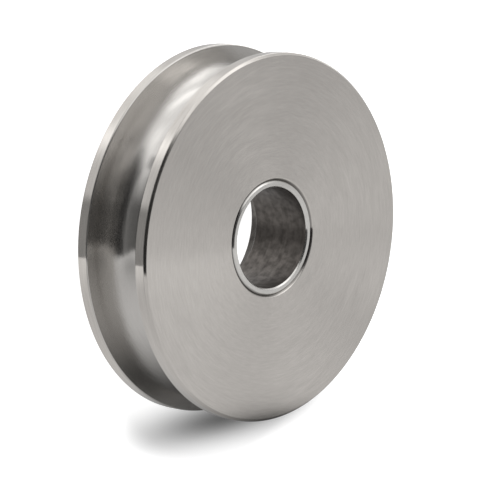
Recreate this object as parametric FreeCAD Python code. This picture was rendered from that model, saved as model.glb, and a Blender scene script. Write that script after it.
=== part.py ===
"""Guide pulley: a turned steel wheel with a round rope groove and a plain dry bush pressed into its bore.

Units are millimetres. The pulley lies on its flat lower face at z = 0, and its axis is +Z through the origin.
"""
import FreeCAD, Part
import math
import os

# Wheel, with two full flat faces
outer_diameter = 80.0
wheel_width = 20.0
rim_edge_chamfer = 0.5

# Rope groove, centred on the wheel's width: a half-round floor between two straight walls
groove_depth = 10.0
groove_radius = 7.0
groove_edge_chamfer = 0.2

# Bush, from the recess's floor to the upper face, and a press fit: the wheel's bore has its outer diameter
bush_outer_diameter = 25.0
bush_wall = 1.5
bush_outer_chamfer = 0.4
bush_inner_chamfer = 0.3

# Mouths of the wheel's bore, which lead the bush in
bore_mouth_chamfer = 0.5

# Recess in the lower face, wider than the bush by the ledge all round
recess_depth = 5.0
recess_ledge = 2.5
recess_edge_chamfer = 0.3


def point(radius, height):
    """A point of a half section, at a radius from the axis and a height above the lower face."""
    return FreeCAD.Vector(radius, 0.0, height)


def lines_through(points):
    """Straight edges from each point to the next."""
    return [Part.LineSegment(start, end).toShape() for start, end in zip(points, points[1:])]


def revolve(edges):
    """One solid from a closed half section, given as its edges in order, turned once round the axis."""
    section = Part.Face(Part.Wire(edges))
    axis_point = FreeCAD.Vector(0, 0, 0)
    axis_direction = FreeCAD.Vector(0, 0, 1)
    return section.revolve(axis_point, axis_direction, math.degrees(2 * math.pi))


def groove_section(rim_radius):
    """Edges of the rope groove's section, from its upper mouth down to its lower one."""
    middle = wheel_width / 2
    floor_radius = rim_radius - groove_depth
    floor_centre_radius = floor_radius + groove_radius
    wall_end_radius = rim_radius - groove_edge_chamfer
    half_width = groove_radius
    half_mouth = half_width + groove_edge_chamfer

    upper_wall = [
        point(rim_radius, middle + half_mouth),
        point(wall_end_radius, middle + half_width),
        point(floor_centre_radius, middle + half_width),
    ]
    lower_wall = [
        point(floor_centre_radius, middle - half_width),
        point(wall_end_radius, middle - half_width),
        point(rim_radius, middle - half_mouth),
    ]
    floor = Part.Arc(upper_wall[-1], point(floor_radius, middle), lower_wall[0])
    return lines_through(upper_wall) + [floor.toShape()] + lines_through(lower_wall)


def make_sheave():
    """The wheel: flat faces, chamfered rims, the rope groove, and a bore that opens into the recess below."""
    rim_radius = outer_diameter / 2
    bore_radius = bush_outer_diameter / 2
    mouth_radius = bore_radius + bore_mouth_chamfer
    recess_radius = bore_radius + recess_ledge
    face_outer_radius = rim_radius - rim_edge_chamfer
    half_mouth = groove_radius + groove_edge_chamfer

    upper_flange = [
        point(mouth_radius, wheel_width),
        point(face_outer_radius, wheel_width),
        point(rim_radius, wheel_width - rim_edge_chamfer),
        point(rim_radius, wheel_width / 2 + half_mouth),
    ]
    lower_flange = [
        point(rim_radius, wheel_width / 2 - half_mouth),
        point(rim_radius, rim_edge_chamfer),
        point(face_outer_radius, 0.0),
        point(recess_radius + recess_edge_chamfer, 0.0),
    ]
    recess = [
        point(recess_radius, recess_edge_chamfer),
        point(recess_radius, recess_depth),
        point(mouth_radius, recess_depth),
    ]
    bore = [
        point(bore_radius, recess_depth + bore_mouth_chamfer),
        point(bore_radius, wheel_width - bore_mouth_chamfer),
        point(mouth_radius, wheel_width),
    ]
    underside = lines_through(lower_flange + recess + bore)
    return revolve(lines_through(upper_flange) + groove_section(rim_radius) + underside)


def make_bush():
    """The bush: a thin sleeve that fills the bore's length, with a chamfer on each edge of its ends."""
    outer_radius = bush_outer_diameter / 2
    inner_radius = outer_radius - bush_wall
    outline = [
        point(inner_radius, recess_depth + bush_inner_chamfer),
        point(inner_radius + bush_inner_chamfer, recess_depth),
        point(outer_radius - bush_outer_chamfer, recess_depth),
        point(outer_radius, recess_depth + bush_outer_chamfer),
        point(outer_radius, wheel_width - bush_outer_chamfer),
        point(outer_radius - bush_outer_chamfer, wheel_width),
        point(inner_radius + bush_inner_chamfer, wheel_width),
        point(inner_radius, wheel_width - bush_inner_chamfer),
    ]
    return revolve(lines_through(outline + outline[:1]))


def write_part(name, shape):
    """Check one solid and write it to its own file, which carries its name."""
    if not shape.isValid() or len(shape.Solids) != 1:
        raise ValueError(f"{name} is not one valid solid")
    shape.exportStep(os.path.join("parts", f"{name}.step"))
    print(f"{name}: {shape.Volume:.1f} cubic mm")


def main():
    os.makedirs("parts", exist_ok=True)
    write_part("sheave", make_sheave())
    write_part("bush", make_bush())


main()
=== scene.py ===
"""Guide pulley: a turned steel wheel with a rope groove and a plain dry bush, dressed round its CAD frame."""
import logging
import math
from dataclasses import dataclass, field
from enum import Enum
from typing import Iterable, Union

import bpy
from mathutils import Matrix, Vector


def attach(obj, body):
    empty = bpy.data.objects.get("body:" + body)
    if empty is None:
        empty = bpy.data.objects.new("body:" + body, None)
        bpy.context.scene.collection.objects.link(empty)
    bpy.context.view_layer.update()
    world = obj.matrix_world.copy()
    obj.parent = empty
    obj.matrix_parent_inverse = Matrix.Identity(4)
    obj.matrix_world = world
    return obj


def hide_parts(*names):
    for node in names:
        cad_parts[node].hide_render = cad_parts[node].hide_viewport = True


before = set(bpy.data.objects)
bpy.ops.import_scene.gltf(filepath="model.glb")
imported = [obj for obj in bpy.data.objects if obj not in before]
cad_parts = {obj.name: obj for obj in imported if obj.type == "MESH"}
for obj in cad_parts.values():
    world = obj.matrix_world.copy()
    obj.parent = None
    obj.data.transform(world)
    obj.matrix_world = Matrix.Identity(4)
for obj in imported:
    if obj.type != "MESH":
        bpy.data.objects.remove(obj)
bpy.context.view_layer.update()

MM = 0.001
LOG = logging.getLogger("guide_pulley")
Socket = bpy.types.NodeSocket
Value = Union[Socket, float]
Colour = tuple[float, float, float]


def deselect_all() -> None:
    """Leave every object unselected, because loading the frame leaves its nodes selected."""
    bpy.ops.object.select_all(action="DESELECT")


@dataclass(frozen=True)
class Ring:
    """One circle of a turned outline, in millimetres."""

    radius: float
    height: float

    def towards(self, other: "Ring", distance: float) -> "Ring":
        """The ring that lies a distance along the way to another one.

        Args:
            other: The ring at the far end of the line.
            distance: Millimetres from this ring.

        Returns:
            The ring between the two.
        """
        share = distance / self.distance(other)
        radius = self.radius + (other.radius - self.radius) * share
        return Ring(radius, self.height + (other.height - self.height) * share)

    def distance(self, other: "Ring") -> float:
        """Length of the straight line to another ring, in millimetres."""
        return math.hypot(other.radius - self.radius, other.height - self.height)

    def heading(self, other: "Ring") -> float:
        """Direction of the straight line to another ring, in degrees."""
        return math.degrees(math.atan2(other.height - self.height, other.radius - self.radius))


@dataclass
class Lathe:
    """Turns a closed outline into a solid: one circle, extruded and scaled ring by ring.

    Sizes are in millimetres and angles in degrees.
    """

    around: int = 360
    corner_angle: float = 20.0
    edge_break: float = 0.06
    edge_steps: int = 2
    hold: float = 0.14
    longest_hold_share: float = 0.4
    merge_within: float = 0.002
    smooth_angle: float = 40.0

    def turn(self, name: str, outline: list[Ring]) -> bpy.types.Object:
        """Model one turned piece.

        Args:
            name: The piece's name.
            outline: Its half section as rings in order, without the first one repeated at the end.

        Returns:
            The finished piece, at the origin, with its place in its mesh.
        """
        rings = self.held(outline)
        piece = self.first_circle(name, rings[0])
        bpy.ops.object.mode_set(mode="EDIT")
        bpy.ops.mesh.select_all(action="SELECT")
        for before, after in zip(rings, rings[1:] + rings[:1]):
            rise = (after.height - before.height) * MM
            growth = after.radius / before.radius
            bpy.ops.mesh.extrude_region_move(TRANSFORM_OT_translate={"value": (0.0, 0.0, rise)})
            bpy.ops.transform.resize(value=(growth, growth, 1.0), center_override=(0.0, 0.0, 0.0))
        self.close(piece)
        self.break_edges(piece)
        return piece

    def held(self, outline: list[Ring]) -> list[Ring]:
        """Add a ring on each side of every corner, which keeps the faces beside it flat in the light.

        Args:
            outline: The half section's rings in order.

        Returns:
            The same half section with the added rings.
        """
        rings: list[Ring] = []
        for last, ring, following in zip(outline[-1:] + outline[:-1], outline, outline[1:] + outline[:1]):
            turned = abs((ring.heading(following) - last.heading(ring) + 180.0) % 360.0 - 180.0)
            if turned < self.corner_angle:
                rings.append(ring)
                continue
            before = min(self.hold, ring.distance(last) * self.longest_hold_share)
            after = min(self.hold, ring.distance(following) * self.longest_hold_share)
            rings += [ring.towards(last, before), ring, ring.towards(following, after)]
        return rings

    def first_circle(self, name: str, ring: Ring) -> bpy.types.Object:
        """Add the circle that the outline starts from.

        Args:
            name: The piece's name.
            ring: The outline's first ring.

        Returns:
            The new object, with its place in its mesh.
        """
        deselect_all()
        place = (0.0, 0.0, ring.height * MM)
        bpy.ops.mesh.primitive_circle_add(vertices=self.around, radius=ring.radius * MM, location=place)
        bpy.ops.object.transform_apply(location=True, rotation=True, scale=True)
        piece = bpy.context.object
        piece.name = name
        piece.data.name = name
        return piece

    def close(self, piece: bpy.types.Object) -> None:
        """Join the last ring to the first one and turn the faces outwards.

        Args:
            piece: The piece, in edit mode.
        """
        bpy.ops.mesh.select_all(action="SELECT")
        bpy.ops.mesh.remove_doubles(threshold=self.merge_within * MM)
        bpy.ops.mesh.normals_make_consistent(inside=False)
        bpy.ops.object.mode_set(mode="OBJECT")
        LOG.info("%s: %d vertices turned", piece.name, len(piece.data.vertices))

    def break_edges(self, piece: bpy.types.Object) -> None:
        """Round every corner of the outline a little, as a file does on the lathe, and shade it smooth.

        Args:
            piece: The piece, in object mode.
        """
        bevel = piece.modifiers.new("edge_break", "BEVEL")
        bevel.limit_method = "ANGLE"
        bevel.angle_limit = math.radians(self.corner_angle)
        bevel.width = self.edge_break * MM
        bevel.segments = self.edge_steps
        bpy.ops.object.modifier_apply(modifier=bevel.name)
        bpy.ops.object.shade_smooth_by_angle(angle=math.radians(self.smooth_angle))


class Bench:
    """Lays out the nodes of one material or world, and wires them."""

    def __init__(self, tree: bpy.types.NodeTree) -> None:
        """Start from an empty tree.

        Args:
            tree: The tree of a material or world.
        """
        self.tree = tree
        tree.nodes.clear()

    def node(self, kind: str, **settings: object) -> bpy.types.Node:
        """Add a node.

        Args:
            kind: Its type, without the ShaderNode at the start.
            settings: Values for the node's own settings.

        Returns:
            The node.
        """
        made = self.tree.nodes.new("ShaderNode" + kind)
        for name, value in settings.items():
            setattr(made, name, value)
        return made

    def feed(self, socket: Socket, value: object) -> None:
        """Give a socket a plain value, or a wire from another node's socket."""
        if isinstance(value, bpy.types.NodeSocket):
            self.tree.links.new(value, socket)
        else:
            socket.default_value = value

    def math(self, operation: str, first: Value, second: Value = 0.0, third: Value = 0.0) -> Socket:
        """One sum.

        Args:
            operation: Name of the sum, as Blender has it.
            first: Its first value.
            second: Its second value, where it has one.
            third: Its third value, where it has one.

        Returns:
            The socket with the result.
        """
        made = self.node("Math", operation=operation)
        for socket, value in zip(made.inputs, (first, second, third)):
            self.feed(socket, value)
        return made.outputs[0]

    def vector(self, operation: str, first: object, second: object = (0.0, 0.0, 0.0)) -> bpy.types.Node:
        """One sum on vectors.

        Args:
            operation: Name of the sum, as Blender has it.
            first: Its first vector.
            second: Its second vector, where it has one.

        Returns:
            The node, whose sockets have the result.
        """
        made = self.node("VectorMath", operation=operation)
        self.feed(made.inputs[0], first)
        self.feed(made.inputs[1], second)
        return made

    def between(self, value: Value, start: float, end: float, low: float = 0.0, high: float = 1.0,
                smooth: bool = True) -> Socket:
        """A value that goes from low to high while another goes from start to end, and stops there.

        Args:
            value: The value that is followed.
            start: Where the result leaves low.
            end: Where it reaches high.
            low: The result before start.
            high: The result after end.
            smooth: True for a soft start and end.

        Returns:
            The socket with the result.
        """
        kind = "SMOOTHSTEP" if smooth else "LINEAR"
        made = self.node("MapRange", interpolation_type=kind, clamp=True)
        for name, number in (("Value", value), ("From Min", start), ("From Max", end), ("To Min", low),
                             ("To Max", high)):
            self.feed(made.inputs[name], number)
        return made.outputs["Result"]

    def mix(self, share: Value, first: Value, second: Value) -> Socket:
        """A number between two others.

        Args:
            share: 0 for the first number and 1 for the second.
            first: The first number.
            second: The second number.

        Returns:
            The socket with the result.
        """
        made = self.node("Mix", data_type="FLOAT")
        for socket, value in zip(made.inputs[:1] + made.inputs[2:4], (share, first, second)):
            self.feed(socket, value)
        return made.outputs[0]

    def tint(self, share: Value, first: object, second: object) -> Socket:
        """A colour between two others.

        Args:
            share: 0 for the first colour and 1 for the second.
            first: The first colour.
            second: The second colour.

        Returns:
            The socket with the result.
        """
        made = self.node("Mix", data_type="RGBA")
        self.feed(made.inputs[0], share)
        for socket, value in zip(made.inputs[6:8], (first, second)):
            self.feed(socket, value if isinstance(value, bpy.types.NodeSocket) else (*value, 1.0))
        return made.outputs[2]

    def spot(self, first: Socket, second: Socket, first_reach: float, second_reach: float) -> Socket:
        """A soft oval spot, 1 in its middle.

        Args:
            first: Distance from the middle one way.
            second: Distance from the middle the other way.
            first_reach: How far the spot reaches the first way.
            second_reach: How far it reaches the second way.

        Returns:
            The spot's strength.
        """
        near = self.node("CombineXYZ")
        self.feed(near.inputs[0], self.math("DIVIDE", first, first_reach))
        self.feed(near.inputs[1], self.math("DIVIDE", second, second_reach))
        squared = self.vector("DOT_PRODUCT", near.outputs[0], near.outputs[0]).outputs["Value"]
        return self.math("EXPONENT", self.math("MULTIPLY", squared, -1.0))

    def relief(self, height: Socket) -> Socket:
        """The normal of a surface that is raised by a height in metres."""
        bump = self.node("Bump")
        self.feed(bump.inputs["Height"], height)
        self.feed(bump.inputs["Distance"], 1.0)
        self.feed(bump.inputs["Strength"], 1.0)
        return bump.outputs[0]

    def finish(self, shader: bpy.types.Node, kind: str = "Material") -> None:
        """Wire the last shader to the output.

        Args:
            shader: The shader, whose first socket has the surface.
            kind: Material or World, after what the tree belongs to.
        """
        output = self.node("Output" + kind)
        self.feed(output.inputs["Surface"], shader.outputs[0])


def new_material(name: str) -> tuple[bpy.types.Material, Bench]:
    """Add an empty material.

    Args:
        name: Its name.

    Returns:
        The material, and the bench that lays out its nodes.
    """
    made = bpy.data.materials.new(name)
    made.use_nodes = True
    return made, Bench(made.node_tree)


@dataclass(frozen=True)
class Marks:
    """Marks drawn out into arcs round the axis, as a turning tool or an abrasive leaves them.

    There are per_mm of them to a millimetre, and they change arcs times round the axis. Detail is the levels
    of finer marks, finer is how strong those are, and offset moves the pattern, so that two of them differ.
    """

    per_mm: float
    arcs: float
    detail: float
    finer: float
    offset: float = 0.0


@dataclass
class TurnedPlace:
    """Where a point is on a turned piece: its radius, its height, and a seamless place round the axis."""

    bench: Bench
    own: Socket = field(init=False)
    radius: Socket = field(init=False)
    height: Socket = field(init=False)
    around: Socket = field(init=False)

    def __post_init__(self) -> None:
        """Read the place from the piece's own coordinates."""
        bench = self.bench
        self.own = bench.node("TexCoord").outputs["Object"]
        flat = bench.vector("MULTIPLY", self.own, (1.0, 1.0, 0.0)).outputs["Vector"]
        self.radius = bench.vector("LENGTH", flat).outputs["Value"]
        self.height = bench.node("SeparateXYZ").outputs["Z"]
        bench.feed(self.height.node.inputs[0], self.own)
        self.around = bench.vector("NORMALIZE", flat).outputs["Vector"]

    def noise(self, marks: Marks) -> Socket:
        """The strength of some marks at this place.

        Args:
            marks: What the marks are like.

        Returns:
            A number from 0 to 1.
        """
        bench = self.bench
        turn = bench.node("SeparateXYZ")
        bench.feed(turn.inputs[0], self.around)
        across = bench.node("CombineXYZ")
        bench.feed(across.inputs[0], bench.math("MULTIPLY", self.radius, marks.per_mm / MM))
        bench.feed(across.inputs[1], bench.math("MULTIPLY", self.height, marks.per_mm / MM))
        bench.feed(across.inputs[2], bench.math("MULTIPLY_ADD", turn.outputs["X"], marks.arcs, marks.offset))
        noise = bench.node("TexNoise", noise_dimensions="4D")
        bench.feed(noise.inputs["Vector"], across.outputs[0])
        bench.feed(noise.inputs["W"], bench.math("MULTIPLY_ADD", turn.outputs["Y"], marks.arcs, marks.offset))
        bench.feed(noise.inputs["Scale"], 1.0)
        bench.feed(noise.inputs["Detail"], marks.detail)
        bench.feed(noise.inputs["Roughness"], marks.finer)
        return noise.outputs["Fac"]


@dataclass(frozen=True)
class TurnedSteel:
    """Bare turned steel: bright, satin, with fine marks round the axis that spread light across them."""

    name: str
    light: Colour = (0.572, 0.545, 0.515)
    dark: Colour = (0.500, 0.476, 0.449)
    roughness: float = 0.170
    rim_roughness: float = 0.125
    roughness_spread: float = 0.03
    fine: Marks = Marks(per_mm=2.4, arcs=9.0, detail=4.0, finer=0.62)
    broad: Marks = Marks(per_mm=0.45, arcs=3.0, detail=2.0, finer=0.5, offset=7.0)
    waves: Marks = Marks(per_mm=0.22, arcs=5.0, detail=2.0, finer=0.55, offset=19.0)
    broad_share: float = 0.4
    dark_below: float = 0.35
    light_above: float = 0.65
    smooth_below: float = 0.3
    rough_above: float = 0.7
    across_marks: float = 0.25
    mark_depth: float = 0.0011
    groove_mark_depth: float = 0.0180
    wave_depth: float = 0.030
    groove_grey: Colour = (0.528, 0.520, 0.508)
    groove_grey_share: float = 0.5
    middle: float = 10.0
    groove_half_width: float = 7.0
    groove_fade_start: float = 0.05
    groove_fade_end: float = 0.25
    # The seam between the wheel and the bush is darkened with painted shade.
    seam_radius: float = 12.60
    seam_half_width: float = 0.34
    seam_core: float = 0.5
    seam_share: float = 0.55
    seam_painted_shade: Colour = (0.030, 0.028, 0.026)
    rim_radius: float = 39.75
    rim_fade: float = 0.2

    def material(self) -> bpy.types.Material:
        """Make the finish.

        Returns:
            The material.
        """
        made, bench = new_material(self.name)
        place = TurnedPlace(bench)
        fine = place.noise(self.fine)
        broad = place.noise(self.broad)
        in_groove = self.in_groove(bench, place)
        tangent = bench.node("Tangent", direction_type="RADIAL", axis="Z")

        shader = bench.node("BsdfPrincipled")
        bench.feed(shader.inputs["Metallic"], 1.0)
        bench.feed(shader.inputs["Anisotropic"], 1.0)
        bench.feed(shader.inputs["Anisotropic Rotation"], self.across_marks)
        bench.feed(shader.inputs["Tangent"], tangent.outputs[0])
        tone = bench.mix(self.broad_share, fine, broad)
        bench.feed(shader.inputs["Base Color"], self.colour(bench, place, tone, in_groove))
        bench.feed(shader.inputs["Roughness"], self.shine(bench, place, broad))

        depth = bench.mix(in_groove, self.mark_depth * MM, self.groove_mark_depth * MM)
        waves_in_groove = bench.math("MULTIPLY", place.noise(self.waves), in_groove)
        swell = bench.math("MULTIPLY", waves_in_groove, self.wave_depth * MM)
        bench.feed(shader.inputs["Normal"], bench.relief(bench.math("MULTIPLY_ADD", fine, depth, swell)))
        bench.finish(shader)
        return made

    def in_groove(self, bench: Bench, place: TurnedPlace) -> Socket:
        """1 between the groove's mouths and 0 past them."""
        off_middle = bench.math("ABSOLUTE", bench.math("SUBTRACT", place.height, self.middle * MM))
        start = (self.groove_half_width + self.groove_fade_start) * MM
        end = (self.groove_half_width + self.groove_fade_end) * MM
        return bench.between(off_middle, start, end, 1.0, 0.0)

    def colour(self, bench: Bench, place: TurnedPlace, tone: Socket, in_groove: Socket) -> Socket:
        """The steel's colour, greyer in the groove, with painted shade darkening the seam round the bush.

        Args:
            bench: The material's nodes.
            place: The place on the piece.
            tone: How light the marks are there.
            in_groove: 1 in the groove and 0 outside it.

        Returns:
            The colour.
        """
        lightness = bench.between(tone, self.dark_below, self.light_above, smooth=False)
        bare = bench.tint(lightness, self.dark, self.light)
        greyed = bench.tint(bench.math("MULTIPLY", in_groove, self.groove_grey_share), bare, self.groove_grey)
        # Painted shade: the seam round the bush is tinted towards a near-black colour.
        off_seam = bench.math("ABSOLUTE", bench.math("SUBTRACT", place.radius, self.seam_radius * MM))
        core = self.seam_half_width * self.seam_core * MM
        seam_shade_mask = bench.between(off_seam, core, self.seam_half_width * MM, self.seam_share, 0.0)
        return bench.tint(seam_shade_mask, greyed, self.seam_painted_shade)

    def shine(self, bench: Bench, place: TurnedPlace, broad: Socket) -> Socket:
        """The steel's roughness, which the broad marks vary and the polished rim has less of.

        Args:
            bench: The material's nodes.
            place: The place on the piece.
            broad: The broad marks there.

        Returns:
            The roughness.
        """
        at_rim = bench.between(place.radius, (self.rim_radius - self.rim_fade) * MM, self.rim_radius * MM)
        spread = bench.between(broad, self.smooth_below, self.rough_above,
                               -self.roughness_spread, self.roughness_spread, smooth=False)
        return bench.math("ADD", bench.mix(at_rim, self.roughness, self.rim_roughness), spread)


@dataclass(frozen=True)
class DryLining:
    """A dull bronze brown with a satin shine, mottled, with faint marks from the axle."""

    name: str
    light: Colour = (0.140, 0.125, 0.114)
    dark: Colour = (0.078, 0.069, 0.062)
    metallic: float = 0.75
    roughness: float = 0.36
    roughness_spread: float = 0.08
    mottle_scale: float = 650.0
    mottle_detail: float = 4.0
    mottle_depth: float = 0.02
    axle_marks: Marks = Marks(per_mm=1.6, arcs=2.0, detail=2.0, finer=0.5)
    marks_share: float = 0.3
    dark_below: float = 0.3
    light_above: float = 0.7

    def material(self) -> bpy.types.Material:
        """Make the finish.

        Returns:
            The material.
        """
        made, bench = new_material(self.name)
        place = TurnedPlace(bench)
        noise = bench.node("TexNoise")
        bench.feed(noise.inputs["Vector"], place.own)
        bench.feed(noise.inputs["Scale"], self.mottle_scale)
        bench.feed(noise.inputs["Detail"], self.mottle_detail)
        mottle = noise.outputs["Fac"]
        tone = bench.mix(self.marks_share, mottle, place.noise(self.axle_marks))
        lightness = bench.between(tone, self.dark_below, self.light_above)
        dullest = self.roughness + self.roughness_spread
        brightest = self.roughness - self.roughness_spread
        roughness = bench.between(tone, self.dark_below, self.light_above, dullest, brightest)

        shader = bench.node("BsdfPrincipled")
        bench.feed(shader.inputs["Metallic"], self.metallic)
        bench.feed(shader.inputs["Base Color"], bench.tint(lightness, self.dark, self.light))
        bench.feed(shader.inputs["Roughness"], roughness)
        relief = bench.relief(bench.math("MULTIPLY", mottle, self.mottle_depth * MM))
        bench.feed(shader.inputs["Normal"], relief)
        bench.finish(shader)
        return made


def dress(piece: bpy.types.Object, materials: Iterable[bpy.types.Material]) -> None:
    """Give a piece its materials, in order.

    Args:
        piece: The piece.
        materials: Its materials; faces take the first one unless they name another.
    """
    piece.data.materials.clear()
    for material in materials:
        piece.data.materials.append(material)


@dataclass
class Sheave:
    """The wheel, turned from one piece, with a rope groove between two thin flanges. Sizes in millimetres."""

    node: str = "sheave"
    diameter: float = 80.0
    width: float = 20.0
    rim_chamfer: float = 0.5
    groove_depth: float = 10.0
    groove_radius: float = 7.0
    groove_edge_chamfer: float = 0.2
    bore_diameter: float = 25.0
    mouth_chamfer: float = 0.5
    recess_depth: float = 5.0
    recess_ledge: float = 2.5
    recess_chamfer: float = 0.3
    floor_steps: int = 48
    slack: float = 0.02
    lathe: Lathe = field(default_factory=Lathe)

    def outline(self) -> list[Ring]:
        """The wheel's half section, from the upper face round the rim and back through the bore.

        Returns:
            Its rings in order.
        """
        rim = self.diameter / 2
        bore = self.bore_diameter / 2
        recess = bore + self.recess_ledge
        middle = self.width / 2
        mouth = self.groove_radius + self.groove_edge_chamfer
        wall_top = rim - self.groove_edge_chamfer
        upper = [
            Ring(bore + self.mouth_chamfer, self.width),
            Ring(rim - self.rim_chamfer, self.width),
            Ring(rim, self.width - self.rim_chamfer),
            Ring(rim, middle + mouth),
            Ring(wall_top, middle + self.groove_radius),
        ]
        lower = [
            Ring(wall_top, middle - self.groove_radius),
            Ring(rim, middle - mouth),
            Ring(rim, self.rim_chamfer),
            Ring(rim - self.rim_chamfer, 0.0),
            Ring(recess + self.recess_chamfer, 0.0),
            Ring(recess, self.recess_chamfer),
            Ring(recess, self.recess_depth),
            Ring(bore + self.mouth_chamfer, self.recess_depth),
            Ring(bore, self.recess_depth + self.mouth_chamfer),
            Ring(bore, self.width - self.mouth_chamfer),
        ]
        return upper + self.groove_floor() + lower

    def groove_floor(self) -> list[Ring]:
        """The half-round floor of the groove, from its upper wall to its lower one.

        Returns:
            Its rings in order.
        """
        centre = self.diameter / 2 - self.groove_depth + self.groove_radius
        rings = []
        for step in range(self.floor_steps + 1):
            angle = math.pi / 2 + math.pi * step / self.floor_steps
            radius = centre + self.groove_radius * math.cos(angle)
            rings.append(Ring(radius, self.width / 2 + self.groove_radius * math.sin(angle)))
        return rings

    def build(self) -> bpy.types.Object:
        """Model and dress the wheel.

        Returns:
            The piece, which stands for its CAD node.
        """
        piece = self.lathe.turn("sheave_wheel", self.outline())
        bare = TurnedSteel("turned_steel", middle=self.width / 2)
        # The recess takes a darker copy of the lining's dull brown finish.
        dark_recess = DryLining("dark_recess_finish", light=(0.200, 0.186, 0.172), dark=(0.120, 0.110, 0.102))
        dress(piece, [bare.material(), dark_recess.material()])
        self.darken_recess(piece)
        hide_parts(self.node)
        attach(piece, "root")
        return piece

    def darken_recess(self, piece: bpy.types.Object) -> None:
        """Make the recess dark and dull, round its wall and on its floor.

        Args:
            piece: The wheel.
        """
        wall_radius = (self.bore_diameter / 2 + self.recess_ledge + self.slack) * MM
        top = (self.recess_depth + self.slack) * MM
        for face in piece.data.polygons:
            if face.center.z < top and math.hypot(face.center.x, face.center.y) < wall_radius:
                face.material_index = 1


@dataclass
class Bush:
    """The plain dry bush, from the recess's floor to the wheel's upper face. Sizes in millimetres."""

    node: str = "bush"
    top: float = 20.0
    length: float = 15.0
    outer_diameter: float = 25.0
    wall: float = 1.5
    outer_chamfer: float = 0.4
    inner_chamfer: float = 0.3
    slack: float = 0.02
    lathe: Lathe = field(default_factory=lambda: Lathe(around=288, edge_break=0.04, hold=0.08))

    def outline(self) -> list[Ring]:
        """The bush's half section, round its wall.

        Returns:
            Its rings in order.
        """
        outer = self.outer_diameter / 2
        inner = outer - self.wall
        bottom = self.top - self.length
        return [
            Ring(inner, bottom + self.inner_chamfer),
            Ring(inner + self.inner_chamfer, bottom),
            Ring(outer - self.outer_chamfer, bottom),
            Ring(outer, bottom + self.outer_chamfer),
            Ring(outer, self.top - self.outer_chamfer),
            Ring(outer - self.outer_chamfer, self.top),
            Ring(inner + self.inner_chamfer, self.top),
            Ring(inner, self.top - self.inner_chamfer),
        ]

    def build(self) -> bpy.types.Object:
        """Model and dress the bush.

        Returns:
            The piece, which stands for its CAD node.
        """
        piece = self.lathe.turn("dry_bush", self.outline())
        light, dark = (0.66, 0.645, 0.62), (0.58, 0.565, 0.545)
        steel = TurnedSteel("bush_steel", light=light, dark=dark, roughness=0.18)
        dress(piece, [steel.material(), DryLining("dry_lining").material()])
        self.line(piece)
        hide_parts(self.node)
        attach(piece, "root")
        return piece

    def line(self, piece: bpy.types.Object) -> None:
        """Give the inside of the bush its lining.

        Args:
            piece: The bush.
        """
        lining_radius = (self.outer_diameter / 2 - self.wall + self.slack) * MM
        for face in piece.data.polygons:
            if math.hypot(face.center.x, face.center.y) < lining_radius:
                face.material_index = 1


@dataclass
class Viewpoint:
    """The photograph's camera: nearly parallel, on the upper face's side.

    Angles are in degrees, and the lens and the sensor in millimetres. The distance, and how far the camera is to
    the right and up, are in the wheel's radii.
    """

    from_axis: float = 48.56
    axis_below_level: float = 9.69
    looking_down: float = 10.8
    lens: float = 468.0
    sensor: float = 36.0
    distance: float = 34.9205
    right: float = -0.1207
    up: float = -0.0652
    nearest_seen: float = 0.05
    furthest_seen: float = 50.0

    def axes(self) -> tuple[Vector, Vector, Vector]:
        """The camera's own axes in the row frame.

        Returns:
            The directions to the picture's right, to its top, and towards the camera.
        """
        tilt = math.radians(self.from_axis)
        roll = math.radians(90.0 + self.axis_below_level)
        back = Vector((0.0, -math.sin(tilt), math.cos(tilt)))
        level = Vector((1.0, 0.0, 0.0))
        rising = back.cross(level)
        right = math.cos(roll) * level + math.sin(roll) * rising
        return right, back.cross(right), back

    def studio_axes(self) -> tuple[Vector, Vector, Vector]:
        """The photographer's room in the row frame, where the wheel stood on its rim.

        Returns:
            The directions to the room's ceiling, from the wheel to the photographer, and to the right.
        """
        right, top, back = self.axes()
        down = math.radians(self.looking_down)
        ceiling = math.cos(down) * top + math.sin(down) * back
        front = math.cos(down) * back - math.sin(down) * top
        return ceiling, front, right

    def place_camera(self, wheel_radius: float, face_height: float) -> None:
        """Put the camera where the photograph was taken from.

        Args:
            wheel_radius: The wheel's radius in metres, the unit of the fitted place.
            face_height: Height of the wheel's upper face in metres.
        """
        right, top, back = self.axes()
        data = bpy.data.cameras.new("camera")
        data.lens = self.lens
        data.sensor_width = self.sensor
        data.clip_start = self.nearest_seen
        data.clip_end = self.furthest_seen
        camera = bpy.data.objects.new("camera", data)
        bpy.context.scene.collection.objects.link(camera)
        offset = self.right * right + self.up * top + self.distance * back
        turned = Matrix((right, top, back)).transposed().to_4x4()
        camera.matrix_world = Matrix.Translation(wheel_radius * offset + Vector((0, 0, face_height))) @ turned
        bpy.context.scene.camera = camera


class Edge(Enum):
    """How sharply a card's edge shows in the metal, in degrees each way."""

    FIRM = 3.0
    SOFT = 7.0
    FADED = 14.0


@dataclass(frozen=True)
class Card:
    """A card far off in the room, seen only in the metal. Angles are in degrees, and level 1 is white."""

    name: str
    level: float
    low: float
    high: float
    side: float = 0.0
    half_width: float = 180.0
    low_edge: Edge = Edge.FIRM
    high_edge: Edge = Edge.FIRM
    side_edge: Edge = Edge.SOFT


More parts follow.
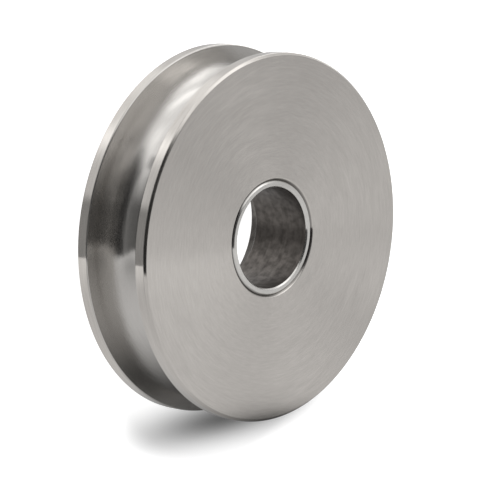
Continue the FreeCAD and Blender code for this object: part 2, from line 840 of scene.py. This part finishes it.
@dataclass
class TableTop:
    """The pale table under the wheel's rim, seen only in the metal, with the wheel's shade painted on it as a
    dimmer glow.

    Distances are in millimetres from the point where the rim touches the table. The plane is larger than the
    table, whose edges are in its material.
    """

    plane_size: float = 1200.0
    drop: float = 0.1
    level: float = 0.83
    core_shade: float = 0.89
    core_along_rim: float = 20.0
    core_along_axis: float = 10.0
    side_shade: float = 0.42
    side_place: float = 122.0
    side_along_rim: float = 50.0
    side_along_axis: float = 45.0
    front: float = 173.0
    left: float = 194.0
    right: float = 200.0
    rear: float = 250.0
    faded_edge: float = 12.0
    crisp_edge: float = 3.0
    ahead_sheen: float = 0.20
    ahead_start: float = 60.0
    aside_start: float = 60.0
    behind_sheen: float = 0.22
    behind_side: float = -0.30
    behind_middle: float = -5.0
    behind_start: float = 20.0
    sheen_reach: float = 60.0

    def build(self, view: Viewpoint, wheel_radius: float, wheel_width: float) -> None:
        """Stand the table at the rim that is lowest in the picture.

        Args:
            view: The photograph's camera, which says where the ceiling was.
            wheel_radius: The wheel's radius in millimetres.
            wheel_width: The wheel's width in millimetres.
        """
        ceiling, front, right = view.studio_axes()
        deselect_all()
        bpy.ops.mesh.primitive_plane_add(size=self.plane_size * MM, location=(0.0, 0.0, 0.0))
        table = bpy.context.object
        table.name = "table_top"
        turned = Matrix((front, right, ceiling)).transposed().to_4x4()
        table.matrix_world = Matrix.Translation(ceiling * (-wheel_radius - self.drop) * MM) @ turned
        for seen_by in ("camera", "diffuse", "transmission", "shadow", "volume_scatter"):
            setattr(table, "visible_" + seen_by, False)
        dress(table, [self.material(front.z, right.z, wheel_width)])

    def material(self, axis_front: float, axis_right: float, wheel_width: float) -> bpy.types.Material:
        """Make the table's light, which ends at its edges.

        Args:
            axis_front: How far the wheel's axis points to the photographer.
            axis_right: How far it points to the right.
            wheel_width: The wheel's width in millimetres.

        Returns:
            The material.
        """
        made, bench = new_material("table_top")
        in_mm = bench.vector("SCALE", bench.node("TexCoord").outputs["Object"])
        bench.feed(in_mm.inputs["Scale"], 1.0 / MM)
        place = in_mm.outputs["Vector"]
        length = math.hypot(axis_front, axis_right)
        axis = (axis_front / length, axis_right / length, 0.0)
        rim = (-axis_right / length, axis_front / length, 0.0)
        along = bench.vector("DOT_PRODUCT", place, axis).outputs["Value"]
        aside = bench.vector("DOT_PRODUCT", place, rim).outputs["Value"]
        shaded = self.shaded(bench, along, aside, wheel_width)
        lifted = self.sheen(bench, along, aside)
        strength = bench.math("MULTIPLY", bench.math("MULTIPLY", shaded, lifted), self.level)

        glow = bench.node("Emission")
        bench.feed(glow.inputs["Strength"], strength)
        through = bench.node("BsdfTransparent")
        both = bench.node("MixShader")
        bench.feed(both.inputs[0], self.inside(bench, place))
        bench.feed(both.inputs[1], through.outputs[0])
        bench.feed(both.inputs[2], glow.outputs[0])
        bench.finish(both)
        return made

    def shaded(self, bench: Bench, along: Socket, aside: Socket, wheel_width: float) -> Socket:
        """What the wheel's painted shade leaves of the table's glow: dark at its foot, and half dark under its
        two sides.

        Args:
            bench: The material's nodes.
            along: Millimetres from the upper face along the wheel's axis.
            aside: Millimetres from the foot along the rim.
            wheel_width: The wheel's width in millimetres.

        Returns:
            The share of the light, 1 outside the shade.
        """
        half = wheel_width / 2
        off_middle = bench.math("ABSOLUTE", bench.math("SUBTRACT", along, half))
        beyond = bench.math("MAXIMUM", bench.math("SUBTRACT", off_middle, half), 0.0)
        core = bench.spot(aside, beyond, self.core_along_rim, self.core_along_axis)
        off_side = bench.math("SUBTRACT", bench.math("ABSOLUTE", aside), self.side_place)
        side = bench.spot(off_side, beyond, self.side_along_rim, self.side_along_axis)
        half_shaded = bench.math("MULTIPLY_ADD", side, -self.side_shade, 1.0)
        return bench.math("MAXIMUM", bench.math("MULTIPLY_ADD", core, -self.core_shade, half_shaded), 0.0)

    def sheen(self, bench: Bench, along: Socket, aside: Socket) -> Socket:
        """How much brighter or duller the table is ahead of the wheel and behind it.

        Args:
            bench: The material's nodes.
            along: Millimetres from the upper face along the wheel's axis.
            aside: Millimetres from the foot along the rim.

        Returns:
            What the light is multiplied by, 1 beside the wheel.
        """
        reach = self.sheen_reach
        ahead = bench.between(along, self.ahead_start, self.ahead_start + reach)
        swing = bench.between(aside, self.aside_start, self.aside_start + reach, 0.0, self.ahead_sheen)
        behind = bench.between(along, -self.behind_start - reach, -self.behind_start, 1.0, 0.0)
        sideways = bench.between(aside, self.behind_middle, self.behind_middle + reach,
                                 self.behind_sheen, self.behind_side)
        return bench.math("MULTIPLY_ADD", ahead, swing, bench.math("MULTIPLY_ADD", behind, sideways, 1.0))

    def inside(self, bench: Bench, place: Socket) -> Socket:
        """1 on the table and 0 past its edges.

        Args:
            bench: The material's nodes.
            place: The place on the table, in millimetres to the front and to the right.

        Returns:
            The share of the table.
        """
        axes = bench.node("SeparateXYZ")
        bench.feed(axes.inputs[0], place)
        ahead, aside = axes.outputs["X"], axes.outputs["Y"]
        faded, crisp = self.faded_edge, self.crisp_edge
        front = bench.between(ahead, self.front - faded, self.front + faded, 1.0, 0.0)
        rear = bench.between(ahead, -self.rear - faded, -self.rear + faded)
        right = bench.between(aside, self.right - faded, self.right + faded, 1.0, 0.0)
        left = bench.between(aside, -self.left - crisp, -self.left + crisp)
        ahead_share = bench.math("MULTIPLY", front, rear)
        return bench.math("MULTIPLY", ahead_share, bench.math("MULTIPLY", right, left))


@dataclass
class Studio:
    """A pale floor, soft light from the top of the picture, and the room that the bare metal mirrors."""

    view: Viewpoint
    wall_level: float = 0.90
    diffuse_level: float = 0.24
    floor_size: float = 8.0
    floor_drop: float = 0.05
    floor_colour: Colour = (0.62, 0.62, 0.62)
    # Place and size of the painted shadow spot at the wheel's foot, in millimetres.
    foot_place: float = 43.5
    foot_side: float = 8.0
    foot_depth: float = 5.5
    foot_length: float = 33.0
    lamp_watts: float = 5.8
    lamp_size: float = 0.22
    lamp_away: float = 0.8
    lamp_rise: float = 1.8
    lamp_left: float = 0.55
    cards: tuple[Card, ...] = (
        Card("ceiling", 1.27, 46.0, 100.0, low_edge=Edge.SOFT),
        Card("lamp_ahead", 1.66, 54.0, 72.0, 12.0, 22.0, Edge.SOFT, Edge.SOFT, Edge.FADED),
        Card("lamp_right", 2.34, 46.0, 58.0, 85.0, 22.0, Edge.SOFT, Edge.SOFT, Edge.FADED),
        Card("window_left", 1.96, 33.0, 46.0, -110.0, 14.0, Edge.SOFT, Edge.SOFT, Edge.SOFT),
        Card("room_left", 0.16, -60.0, 31.0, -42.0, 26.0, Edge.FIRM, Edge.FADED, Edge.SOFT),
        Card("door_left", 0.02, -60.0, 50.0, -68.0, 9.0, Edge.FIRM, Edge.SOFT, Edge.SOFT),
        Card("beam_ahead", 0.50, 48.0, 58.0, -52.0, 22.0, Edge.FIRM, Edge.FIRM, Edge.SOFT),
        Card("door_rear", 0.64, 7.0, 22.0, 180.0, 10.0, Edge.SOFT, Edge.SOFT, Edge.SOFT),
        Card("sky_rear", 1.30, 34.0, 56.0, -150.0, 12.0, Edge.SOFT, Edge.SOFT, Edge.SOFT),
        Card("beam_left", 0.13, 47.0, 68.0, -93.0, 20.0, Edge.SOFT, Edge.SOFT, Edge.SOFT),
        Card("corner_left", 0.03, -60.0, 22.0, -115.0, 11.0, Edge.FIRM, Edge.FIRM, Edge.FIRM),
        Card("strip_left", 0.30, -60.0, 14.0, -91.0, 9.0, Edge.FIRM, Edge.FIRM, Edge.FIRM),
        Card("room_right", 0.10, -60.0, 36.0, 50.0, 14.0, Edge.FIRM, Edge.SOFT, Edge.SOFT),
        Card("table_beyond", 0.79, -60.0, -7.0, 88.0, 32.0, Edge.FIRM, Edge.FIRM, Edge.FADED),
        Card("room_side", 0.30, -7.0, 10.0, 85.0, 25.0, Edge.FIRM, Edge.SOFT, Edge.FADED),
        Card("window_right", 1.97, 8.0, 36.0, 86.0, 12.0, Edge.SOFT, Edge.SOFT, Edge.SOFT),
        Card("lamp_behind", 3.00, 14.0, 48.0, 162.0, 11.0, Edge.SOFT, Edge.SOFT, Edge.SOFT),
        Card("room_ahead", 0.03, -60.0, 44.0, 8.0, 22.0, Edge.FIRM, Edge.SOFT, Edge.SOFT),
    )

    def build(self, wheel_radius: float, wheel_width: float) -> None:
        """Set the colour handling, the world, the table, the floor and the lamp.

        Args:
            wheel_radius: The wheel's radius in millimetres.
            wheel_width: The wheel's width in millimetres.
        """
        bpy.context.scene.view_settings.view_transform = "Standard"
        self.make_world()
        TableTop().build(self.view, wheel_radius, wheel_width)
        self.make_floor()
        self.make_lamp()

    def make_world(self) -> None:
        """White to the camera, plain for soft light, and the room with its cards for the metal."""
        world = bpy.data.worlds.new("studio")
        bpy.context.scene.world = world
        world.use_nodes = True
        bench = Bench(world.node_tree)
        ray = bench.node("LightPath")
        room = self.room_level(bench)
        mirrored = bench.mix(ray.outputs["Is Glossy Ray"], self.diffuse_level, room)
        seen = bench.mix(ray.outputs["Is Camera Ray"], mirrored, 1.0)
        background = bench.node("Background")
        bench.feed(background.inputs["Color"], (1.0, 1.0, 1.0, 1.0))
        bench.feed(background.inputs["Strength"], seen)
        bench.finish(background, "World")

    def room_level(self, bench: Bench) -> Socket:
        """How bright the room is in each direction.

        Args:
            bench: The world's nodes.

        Returns:
            The level, where 1 is white.
        """
        ceiling, front, right = self.view.studio_axes()
        direction = bench.node("TexCoord").outputs["Generated"]
        rise = bench.vector("DOT_PRODUCT", direction, tuple(ceiling)).outputs["Value"]
        height = bench.math("DEGREES", bench.math("ARCSINE", rise))
        ahead = bench.vector("DOT_PRODUCT", direction, tuple(front)).outputs["Value"]
        aside = bench.vector("DOT_PRODUCT", direction, tuple(right)).outputs["Value"]
        side = bench.math("DEGREES", bench.math("ARCTAN2", aside, ahead))
        level: Value = self.wall_level
        for card in self.cards:
            level = bench.mix(self.card_mask(bench, card, height, side), level, card.level)
        return level

    def card_mask(self, bench: Bench, card: Card, height: Socket, side: Socket) -> Socket:
        """Where one card stands.

        Args:
            bench: The world's nodes.
            card: The card.
            height: Angle above the room's level, in degrees.
            side: Angle round the room from the photographer, in degrees, more to the right.

        Returns:
            1 inside the card and 0 outside it.
        """
        low, high = card.low_edge.value, card.high_edge.value
        above = bench.between(height, card.low - low, card.low + low)
        below = bench.between(height, card.high - high, card.high + high, 1.0, 0.0)
        mask = bench.math("MULTIPLY", above, below)
        if card.half_width >= 180.0:
            return mask
        soft = card.side_edge.value
        turned = bench.math("WRAP", bench.math("SUBTRACT", side, card.side), 180.0, -180.0)
        away = bench.math("ABSOLUTE", turned)
        inside = bench.between(away, card.half_width - soft, card.half_width + soft, 1.0, 0.0)
        return bench.math("MULTIPLY", mask, inside)

    def make_floor(self) -> None:
        """A pale floor, just under the wheel."""
        deselect_all()
        bpy.ops.mesh.primitive_plane_add(size=self.floor_size, location=(0.0, 0.0, -self.floor_drop * MM))
        floor = bpy.context.object
        floor.name = "floor"
        floor.visible_glossy = False
        dress(floor, [self.floor_material()])

    def floor_material(self) -> bpy.types.Material:
        """Make the floor's finish: white to the camera, but for a soft spot at the wheel's foot where the glow
        is held back, a painted shadow in which the real shadow also shows.

        Returns:
            The material.
        """
        made, bench = new_material("pale_floor")
        place = bench.node("TexCoord").outputs["Object"]
        ceiling, _, _ = self.view.studio_axes()
        down = bench.vector("DOT_PRODUCT", place, tuple(-ceiling)).outputs["Value"]
        across = bench.vector("DOT_PRODUCT", place, (ceiling.y, -ceiling.x, 0.0)).outputs["Value"]
        # Painted shadow: a soft spot at the foot where the floor's glow is held back, so its darker diffuse
        # shading shows there.
        past_foot = bench.math("SUBTRACT", down, self.foot_place * MM)
        beside_foot = bench.math("SUBTRACT", across, self.foot_side * MM)
        painted_shadow_spot = bench.spot(past_foot, beside_foot, self.foot_depth * MM, self.foot_length * MM)
        seen = bench.node("LightPath").outputs["Is Camera Ray"]
        diffuse = bench.node("BsdfDiffuse")
        bench.feed(diffuse.inputs["Color"], (*self.floor_colour, 1.0))
        glow = bench.node("Emission")
        bench.feed(glow.inputs["Strength"], bench.math("MULTIPLY", bench.math("SUBTRACT", 1.0, painted_shadow_spot), seen))
        both = bench.node("AddShader")
        bench.feed(both.inputs[0], diffuse.outputs[0])
        bench.feed(both.inputs[1], glow.outputs[0])
        bench.finish(both)
        return made

    def make_lamp(self) -> None:
        """One large soft lamp above the top left of the picture."""
        ceiling, _, right = self.view.studio_axes()
        data = bpy.data.lights.new("softbox", "AREA")
        data.shape = "SQUARE"
        data.size = self.lamp_size
        data.energy = self.lamp_watts
        lamp = bpy.data.objects.new("softbox", data)
        bpy.context.scene.collection.objects.link(lamp)
        away = (ceiling - right * self.lamp_left + Vector((0.0, 0.0, self.lamp_rise))).normalized()
        turned = away.to_track_quat("Z", "Y").to_matrix().to_4x4()
        lamp.matrix_world = Matrix.Translation(away * self.lamp_away) @ turned
        lamp.visible_glossy = False


def main() -> None:
    """Build the pulley, then the camera and the studio."""
    logging.basicConfig(level=logging.INFO, format="%(message)s")
    sheave = Sheave()
    for part in (sheave, Bush()):
        piece = part.build()
        LOG.info("%s: %d faces", piece.name, len(piece.data.polygons))
    view = Viewpoint()
    view.place_camera(sheave.diameter / 2 * MM, sheave.width * MM)
    Studio(view).build(sheave.diameter / 2, sheave.width)


if __name__ == "__main__":
    main()
